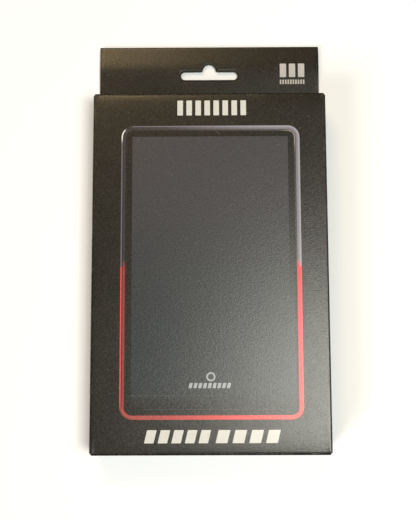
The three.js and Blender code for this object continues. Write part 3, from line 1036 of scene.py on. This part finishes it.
CREAM = (0.62, 0.612, 0.585)
TAB_CREAM = (0.51, 0.49, 0.48)
SMALL_GREY = (0.355, 0.375, 0.41)
PANEL_TOP = (0.050, 0.047, 0.054)
PANEL_LOW = (0.025, 0.030, 0.034)
INK_BLACK = (0.0105, 0.0086, 0.0050)
FAINT_GREY = (0.052, 0.051, 0.052)
RING_PRINT_WIDTH = 2.9 * MM
RING_PRINT = (92.9 * MM, 151.3 * MM, 6.2 * MM)   # width, height and corner
RING_PRINT_CENTRE = (0.5 * MM, MIDDLE - 0.05 * MM)
PRINT_SPLIT = MIDDLE + 1.5 * MM   # height where the printed ring turns red
PANEL = (-40.2 * MM, 40.8 * MM, MIDDLE - 70.2 * MM, MIDDLE + 69.8 * MM)   # left, right, low, top


def blend_colour(a, b, t):
    return tuple(p + (q - p) * t for p, q in zip(a, b))


def printed(name, points, faces, colour_at, thickness=INK, vertices=None):
    """Ink on the front: a flat 2D mesh laid on the bowed face, with its colours on its points."""
    vertices = vertices or [(x, y, front_height(x, y) + INK_LIFT) for x, y in points]
    piece = new_object(name, vertices, faces, [INK_MATERIAL])
    layer = piece.data.color_attributes.new("ink", "FLOAT_COLOR", "POINT")
    for item, point in zip(layer.data, points):
        item.color = (*colour_at(*point), 1)
    thicken(piece, thickness, outward=True, bevel=0)
    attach(piece, "carton")
    return piece


def band(name, size, inset_out, inset_in, centre, colour_at, extra_rows=()):
    """A printed stripe that runs round between two insets of a rounded rectangle."""
    width, height, corner = size
    loops = []
    for inset in (inset_out, inset_in):
        loop = rounded_loop(width - 2 * inset, height - 2 * inset, corner - inset, *centre, 14)
        loops.append(sides([Vector(point) for point in loop]))
    outer, inner = [], []
    for (a, b), (c, d) in zip(*loops):
        count = max(1, round((b - a).length / (3 * MM)))
        cuts = [k / count for k in range(count)]
        for row in extra_rows:
            if min(a.y, b.y) < row < max(a.y, b.y):
                cuts.append((row - a.y) / (b.y - a.y))
        for t in sorted(cuts):
            outer.append(tuple(a.lerp(b, t)))
            inner.append(tuple(c.lerp(d, t)))
    n = len(outer)
    faces = [(i, (i + 1) % n, n + (i + 1) % n, n + i) for i in range(n)]
    return printed(name, outer + inner, faces, colour_at)


def ring_side(x):
    """0 on the printed ring's left, 1 on its right; the top runs from one to the other."""
    return smooth(-0.9, 0.95, (x - RING_PRINT_CENTRE[0]) / (RING_PRINT[0] / 2))


RING_STRIPES = (
    # name, start and end across the ring, then its ink: grey left and right, red left and right
    ("line", 0.00, 0.22, (0.130, 0.120, 0.145), (0.33, 0.32, 0.38),
     (0.68, 0.075, 0.070), (0.86, 0.050, 0.080)),
    ("gap", 0.22, 0.42, (0.022, 0.020, 0.022), (0.26, 0.25, 0.30),
     (0.070, 0.020, 0.018), (0.88, 0.035, 0.045)),
    ("band", 0.42, 0.72, (0.036, 0.032, 0.035), (0.19, 0.177, 0.205),
     (0.29, 0.040, 0.038), (0.88, 0.035, 0.045)),
    ("seam", 0.72, 0.84, (0.017, 0.015, 0.016), (0.045, 0.040, 0.043),
     (0.15, 0.028, 0.026), (0.42, 0.024, 0.032)),
    ("edge", 0.84, 1.00, (0.013, 0.012, 0.012), (0.055, 0.050, 0.050),
     (0.018, 0.010, 0.009), (0.020, 0.010, 0.009)),
)
FOOT_RED = ((0.375, 0.068, 0.062), (0.87, 0.050, 0.050))   # ink of the ring's lower run, left and right
FOOT_DARK = (0.020, 0.010, 0.009)    # inside that run, which is narrower than the sides
SHINE = (0.74, 0.73, 0.71)           # of the line's upper left corner
SHADE = (0.040, 0.035, 0.036)        # of the line beside that shine
GLOW = (0.33, 0.29, 0.26)            # of the edge round GLOW_PLACE
GLOW_PLACE = (RING_PRINT_CENTRE[0] + RING_PRINT[0] / 2, MIDDLE + RING_PRINT[1] / 2 - 4 * MM)
DIM_RED = (0.10, 0.018, 0.015)       # of the line round DIM_PLACE
DIM_PLACE = (RING_PRINT_CENTRE[0] - RING_PRINT[0] / 2, MIDDLE - RING_PRINT[1] / 2)


def corner_shine(x, y):
    """(shine, shade) on the printed ring's upper left corner, where the drawn light falls."""
    centre_x = RING_PRINT_CENTRE[0] - RING_PRINT[0] / 2 + RING_PRINT[2]
    centre_y = RING_PRINT_CENTRE[1] + RING_PRINT[1] / 2 - RING_PRINT[2]
    if x > centre_x:
        return 0.0, 0.0
    if y < centre_y:
        return smooth(centre_y - 3 * MM, centre_y, y), 0.0
    angle = math.degrees(math.atan2(y - centre_y, x - centre_x))
    shine = smooth(128, 140, angle)
    return shine, smooth(90, 104, angle) * (1 - shine)


def stripe_colour(name, grey_left, grey_right, red_left, red_right):
    """The ink of one stripe as a function of its place."""

    def colour_at(x, y):
        side = ring_side(x)
        silver = blend_colour(grey_left, grey_right, side)
        red = blend_colour(red_left, red_right, side)
        foot = smooth(MIDDLE - 68 * MM, MIDDLE - 72 * MM, y)
        foot_ink = FOOT_DARK if name in ("seam", "edge") else blend_colour(*FOOT_RED, side)
        red = blend_colour(red, foot_ink, foot)
        if name == "edge":
            silver = blend_colour(silver, GLOW, smooth(11 * MM, 4 * MM, math.dist((x, y), GLOW_PLACE)))
        if name == "line":
            shine, shade = corner_shine(x, y)
            silver = blend_colour(blend_colour(silver, SHINE, shine), SHADE, shade)
            dim = 0.8 * smooth(9 * MM, 3 * MM, math.dist((x, y), DIM_PLACE))
            red = blend_colour(red, DIM_RED, dim)
            return red if y < PRINT_SPLIT else silver
        return blend_colour(red, silver, smooth(PRINT_SPLIT - 1 * MM, PRINT_SPLIT + 4.5 * MM, y))

    return colour_at


def make_ring_print():
    rows = [PRINT_SPLIT + step * MM for step in (-1.0, -0.04, 0.04, 0.9, 1.8, 2.7, 3.6, 4.5)]
    for name, start, end, *inks in RING_STRIPES:
        band(f"print_ring_{name}", RING_PRINT, start * RING_PRINT_WIDTH, end * RING_PRINT_WIDTH,
             RING_PRINT_CENTRE, stripe_colour(name, *inks), rows)


def panel_shade(y):
    """The window print's grey: warmer at its top, dying away along its foot."""
    shade = blend_colour(PANEL_LOW, PANEL_TOP, smooth(MIDDLE - 40 * MM, MIDDLE + 60 * MM, y))
    return blend_colour(INK_BLACK, shade, smooth(MIDDLE - 70 * MM, MIDDLE - 62 * MM, y))


def make_panel_print():
    """The window's grey, and round it a border that stays black except at the lower right."""
    left, right, low, top = PANEL
    edge = 0.04 * MM
    out_left, out_right = left - 2.2 * MM, right + 2.4 * MM
    out_low, out_top = low - 2 * MM, top + 2.4 * MM
    outline = rectangle(out_left, out_right, out_low, out_top)
    columns = [out_left, left - edge, *spread(left, right, 5 * MM), right + edge, out_right]
    rows = [out_low, low - edge, *spread(low, top, 5 * MM), top + edge, out_top]

    def colour_at(x, y):
        inner = left - edge / 2 < x < right + edge / 2 and low - edge / 2 < y < top + edge / 2
        spread_out = smooth(15 * MM, 80 * MM, x - (y - MIDDLE))
        return blend_colour(INK_BLACK, panel_shade(y), 1.0 if inner else spread_out)

    points, faces = blank(outline, [], columns, rows)
    printed("print_panel", points, faces, colour_at)


def stack(parts, rows=()):
    """Joins flat shapes, with mesh lines on the given rows, into one list of points and faces."""
    points, faces = [], []
    for loop in parts:
        flat, triangles = blank(loop, [], [], rows)
        first = len(points)
        points.extend(flat)
        faces.extend(tuple(first + i for i in face) for face in triangles)
    return points, faces


def block_loop(x, y, width, height, slant=0.0, soft=0.25 * MM):
    """A small upright block with softened corners, leaning by slant across its height."""
    loop = rounded_loop(width, height, soft, x + width / 2, y + height / 2, 3)
    return [(px + slant * (py - y - height / 2) / height, py) for px, py in loop]


def row_of_blocks(left, right, low, height, count, fill, **shape):
    """Evenly spaced blocks from left to right that fill part of each space."""
    pitch = (right - left) / (count - 1 + fill)
    return [block_loop(left + i * pitch, low, fill * pitch, height, **shape) for i in range(count)]


def make_marks():
    """Plain blocks stand where the carton's wording is."""
    cream = lambda x, y: CREAM
    small_grey = lambda x, y: SMALL_GREY
    title = row_of_blocks(-16.8 * MM, 19.2 * MM, MIDDLE + 81.2 * MM, 8.05 * MM, 8, 0.62)
    printed("print_title_blocks", *stack(title), cream, RAISED_INK)
    foot = []
    for left, right, count in ((-32.6 * MM, -0.6 * MM, 5), (3.2 * MM, 34.3 * MM, 4)):
        foot += row_of_blocks(left, right, MIDDLE - 87.3 * MM, 6.5 * MM, count, 0.70, slant=1.6 * MM)
    printed("print_foot_blocks", *stack(foot), cream, RAISED_INK)
    small = row_of_blocks(-10.8 * MM, 10.1 * MM, MIDDLE - 60.1 * MM, 2.6 * MM, 9, 0.66,
                          slant=0.6 * MM, soft=0.15 * MM)
    printed("print_small_blocks", *stack(small), small_grey)
    size = (4.6 * MM, 4.6 * MM, 2.3 * MM)
    band("print_icon_ring", size, 0, 0.8 * MM, (0.2 * MM, MIDDLE - 54.4 * MM), small_grey)


def make_badge():
    """The small mark on the hang tab: three tall blocks over a row of small ones."""
    left, right = 38.85 * MM, 52.35 * MM
    tall = row_of_blocks(left, right, TOP + 15.4 * MM, 7.6 * MM, 3, 0.70)
    small = row_of_blocks(left, right, TOP + 11.5 * MM, 2.5 * MM, 10, 0.62, soft=0.12 * MM)
    points, faces = stack(tall + small, spread(TOP + 11.4 * MM, TOP + 23.4 * MM, 0.5 * MM))
    lifted = [(x, y, TAB_FACE + tab_lift(y) + INK_LIFT) for x, y in points]
    printed("print_tab_blocks", points, faces, lambda x, y: TAB_CREAM, RAISED_INK, lifted)


def make_faint_lines():
    """Faint straight edges printed in the window area."""
    # left, low, right and high of each, in millimetres from the front's middle
    lines = ((5.2, -44, 5.45, 46), (13.9, -50, 14.15, -24), (-42, -63.9, 7, -63.6),
             (-34, -70.7, 40, -70.45), (-33.9, -68, -33.65, -63))
    for number, (x1, y1, x2, y2) in enumerate(lines, 1):
        left, right = x1 * MM, x2 * MM
        low, high = MIDDLE + y1 * MM, MIDDLE + y2 * MM
        columns, rows = spread(left, right, GRID), spread(low, high, GRID)
        points, faces = blank(rectangle(left, right, low, high), [], columns, rows)
        lifted = [(x, y, front_height(x, y) + INK_LIFT + INK) for x, y in points]
        printed(f"print_faint_line_{number}", points, faces, lambda x, y: FAINT_GREY, FAINT_INK, lifted)


INK_MATERIAL = painted_ink("ink")
make_ring_print()
make_panel_print()
make_marks()
make_badge()
make_faint_lines()

# ---- floor, light


def make_floor():
    material, tree, shader = nodes_of("pale_floor")
    tone = noise_node(tree, 3, 2)
    colour = ramp(tree, tone, [(0.3, (0.88, 0.90, 0.95)), (0.7, (0.91, 0.93, 0.98))])
    tree.links.new(colour, shader.inputs["Base Color"])
    shader.inputs["Roughness"].default_value = 0.9
    half = 40.0
    floor = new_object("floor", [(-half, -half, 0), (half, -half, 0), (half, half, 0), (-half, half, 0)],
                       [(0, 1, 2, 3)], [material])
    floor.location.z = -0.05 * MM


def add_light(name, kind, place, power, colour):
    """A light that points at the frame's origin."""
    lamp = bpy.data.lights.new(name, kind)
    lamp.energy = power
    lamp.color = colour
    holder = bpy.data.objects.new(name, lamp)
    holder.location = place
    holder.rotation_euler = (-Vector(place)).to_track_quat("-Z", "Y").to_euler()
    bpy.context.scene.collection.objects.link(holder)
    return lamp


def area_light(name, place, size, power, colour):
    lamp = add_light(name, "AREA", place, power, colour)
    lamp.shape = "RECTANGLE"
    lamp.size, lamp.size_y = size


WORLD_TONES = (
    # height above the horizon, colour
    (0.0, (1.6, 1.6, 1.6)), (0.06, (1.4, 1.4, 1.4)), (0.14, (0.20, 0.19, 0.17)),
    (0.5, (0.20, 0.19, 0.17)), (0.9, (1.0, 0.95, 0.87)),
)


def make_world():
    """A soft studio surround: white at the horizon, dim above it and bright overhead."""
    world = bpy.data.worlds.new("studio")
    world.use_nodes = True
    tree = world.node_tree
    place = add(tree, "ShaderNodeTexCoord")
    split = add(tree, "ShaderNodeSeparateXYZ")
    tree.links.new(place.outputs["Generated"], split.inputs["Vector"])
    colour = ramp(tree, split.outputs["Z"], WORLD_TONES)
    tree.links.new(colour, tree.nodes["Background"].inputs["Color"])
    tree.nodes["Background"].inputs["Strength"].default_value = 0.25
    bpy.context.scene.world = world


def make_camera():
    camera = bpy.data.cameras.new("camera")
    camera.lens = 69.2
    camera.sensor_fit = "HORIZONTAL"
    camera.sensor_width = 36
    camera.clip_start = 0.01
    holder = bpy.data.objects.new("camera", camera)
    holder.location = (0.7 * MM, -59.6 * MM, 428.5 * MM)
    holder.rotation_euler = (math.radians(6.68), math.radians(0.27), math.radians(-0.214))
    bpy.context.scene.collection.objects.link(holder)
    bpy.context.scene.camera = holder


make_floor()
make_world()
make_camera()
area_light("key", (0.295, -0.16, 1.0), (0.34, 0.42), 8.3, (1.0, 1.0, 0.90))
area_light("warm", (-0.30, 0.70, 0.95), (0.45, 0.18), 3.8, (1, 0.72, 0.38))
add_light("fill", "SUN", (-1.1, -1.0, 0.9), 1.5, (1, 0.98, 0.96)).angle = math.radians(25)
bpy.context.scene.view_settings.view_transform = "Standard"
